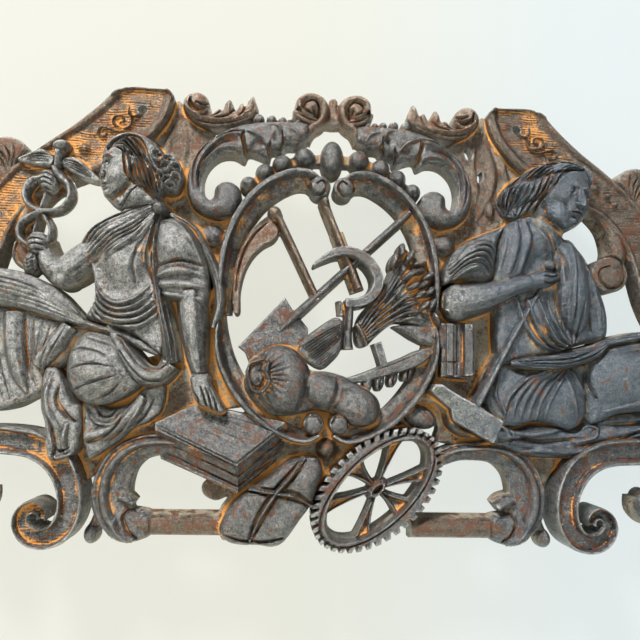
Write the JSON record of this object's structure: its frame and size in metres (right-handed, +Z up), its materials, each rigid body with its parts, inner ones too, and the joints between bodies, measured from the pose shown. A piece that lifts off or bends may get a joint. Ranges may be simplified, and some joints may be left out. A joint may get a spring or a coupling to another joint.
{
  "type": "fireback",
  "caption": "Pierced high-relief cast-iron fireback: seated classical figures beside an oval ring with a trophy of tools, above a chest, bale and cogwheel.",
  "frame": {"origin": "middle of the bottom of the bounding box, with the flat back at +19 mm in Y", "axes": "+X to the viewer's right along the width, +Y out of the flat back, +Z up; the relief faces -Y"},
  "size_m": [0.6, 0.038, 0.325],
  "materials": {
    "figure_iron": "worn grey cast iron with brown rust in the recesses",
    "frame_iron": "worn grey cast iron, rust at the edges",
    "rusty_iron": "cast iron under orange and tan rust",
    "crest_iron": "brown rusted cast iron"
  },
  "bodies": {
    "root": {"left_head": "figure_iron", "left_sleeve": "figure_iron", "left_forearm": "figure_iron", "serpents": "figure_iron", "winged_staff": "figure_iron", "left_mantle": "figure_iron", "left_raised_arm": "figure_iron", "left_torso": "figure_iron", "left_cloak_edge": "figure_iron", "left_wrap": "figure_iron", "left_hanging_fold": "figure_iron", "left_skirt": "figure_iron", "right_head": "figure_iron", "right_arm": "figure_iron", "hammer": "figure_iron", "right_shoulder": "figure_iron", "right_torso": "figure_iron", "right_knee": "figure_iron", "right_skirt": "figure_iron", "right_hem": "figure_iron", "anvil": "frame_iron", "chest_lid": "frame_iron", "chest": "frame_iron", "left_underskirt": "figure_iron", "rope": "frame_iron", "bale": "frame_iron", "cogwheel": "frame_iron", "sickle": "frame_iron", "straight_handle": "crest_iron", "wheat": "frame_iron", "wheat_butt": "frame_iron", "sack": "frame_iron", "spade": "frame_iron", "scythe": "crest_iron", "saw": "frame_iron", "bracket": "frame_iron", "crest": "crest_iron", "bead_garland": "frame_iron", "left_top_leaf": "crest_iron", "right_top_leaf": "crest_iron", "left_acanthus_scroll": "frame_iron", "right_acanthus_scroll": "frame_iron", "left_ring_upper": "frame_iron", "right_ring_upper": "frame_iron", "left_ring_lower": "frame_iron", "right_ring_lower": "frame_iron", "left_strap": "rusty_iron", "right_strap": "rusty_iron", "left_foot_scroll": "frame_iron", "right_foot_scroll": "frame_iron", "left_base_volute": "frame_iron", "right_base_volute": "frame_iron", "left_upper_ground": "rusty_iron", "right_upper_ground": "rusty_iron", "left_ground": "rusty_iron", "right_ground": "rusty_iron", "centre_ground": "rusty_iron", "left_rail": "rusty_iron", "right_rail": "rusty_iron"}
  },
  "joints": []
}
